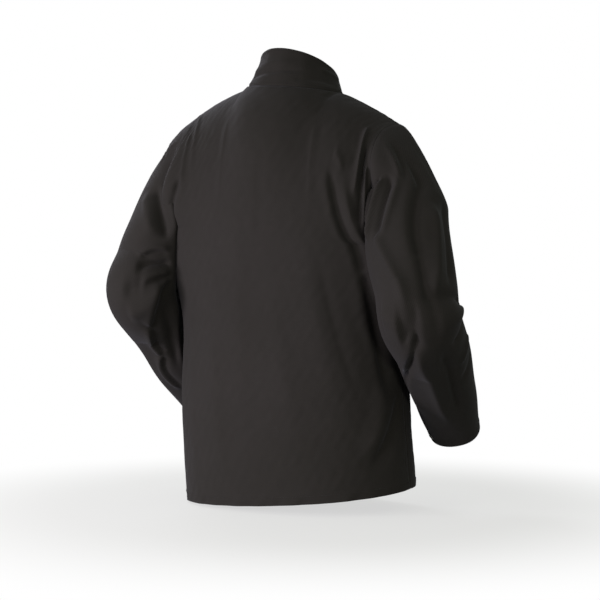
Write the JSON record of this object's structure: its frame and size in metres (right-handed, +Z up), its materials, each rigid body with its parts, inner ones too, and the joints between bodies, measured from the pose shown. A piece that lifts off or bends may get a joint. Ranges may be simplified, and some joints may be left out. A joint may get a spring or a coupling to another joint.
{
  "type": "welding jacket",
  "caption": "Long-sleeved work jacket in black flame-resistant cotton with a stand-up collar, a covered snap front and bent sleeves, in the form it has when worn.",
  "frame": {"origin": "centre of the neck hole, at the level of the back neck seam, where the collar is sewn on and the jacket sits on the wearer's neck", "axes": "+Z up, -Y the way the wearer faces, +X the wearer's left"},
  "size_m": [0.7473, 0.3333, 0.8676],
  "materials": {
    "black_cotton": "matt black cotton twill with a faint sheen",
    "snap_metal": "darkened brass snap caps, satin"
  },
  "bodies": {
    "root": {"back_panel": "black_cotton", "left_front": "black_cotton", "right_front": "black_cotton", "left_sleeve": "black_cotton", "right_sleeve": "black_cotton", "collar": "black_cotton", "front_placket": "black_cotton", "front_snap_1": "snap_metal", "front_snap_2": "snap_metal", "front_snap_3": "snap_metal", "front_snap_4": "snap_metal", "front_snap_5": "snap_metal", "left_cuff_snap": "snap_metal", "right_cuff_snap": "snap_metal"}
  },
  "joints": []
}
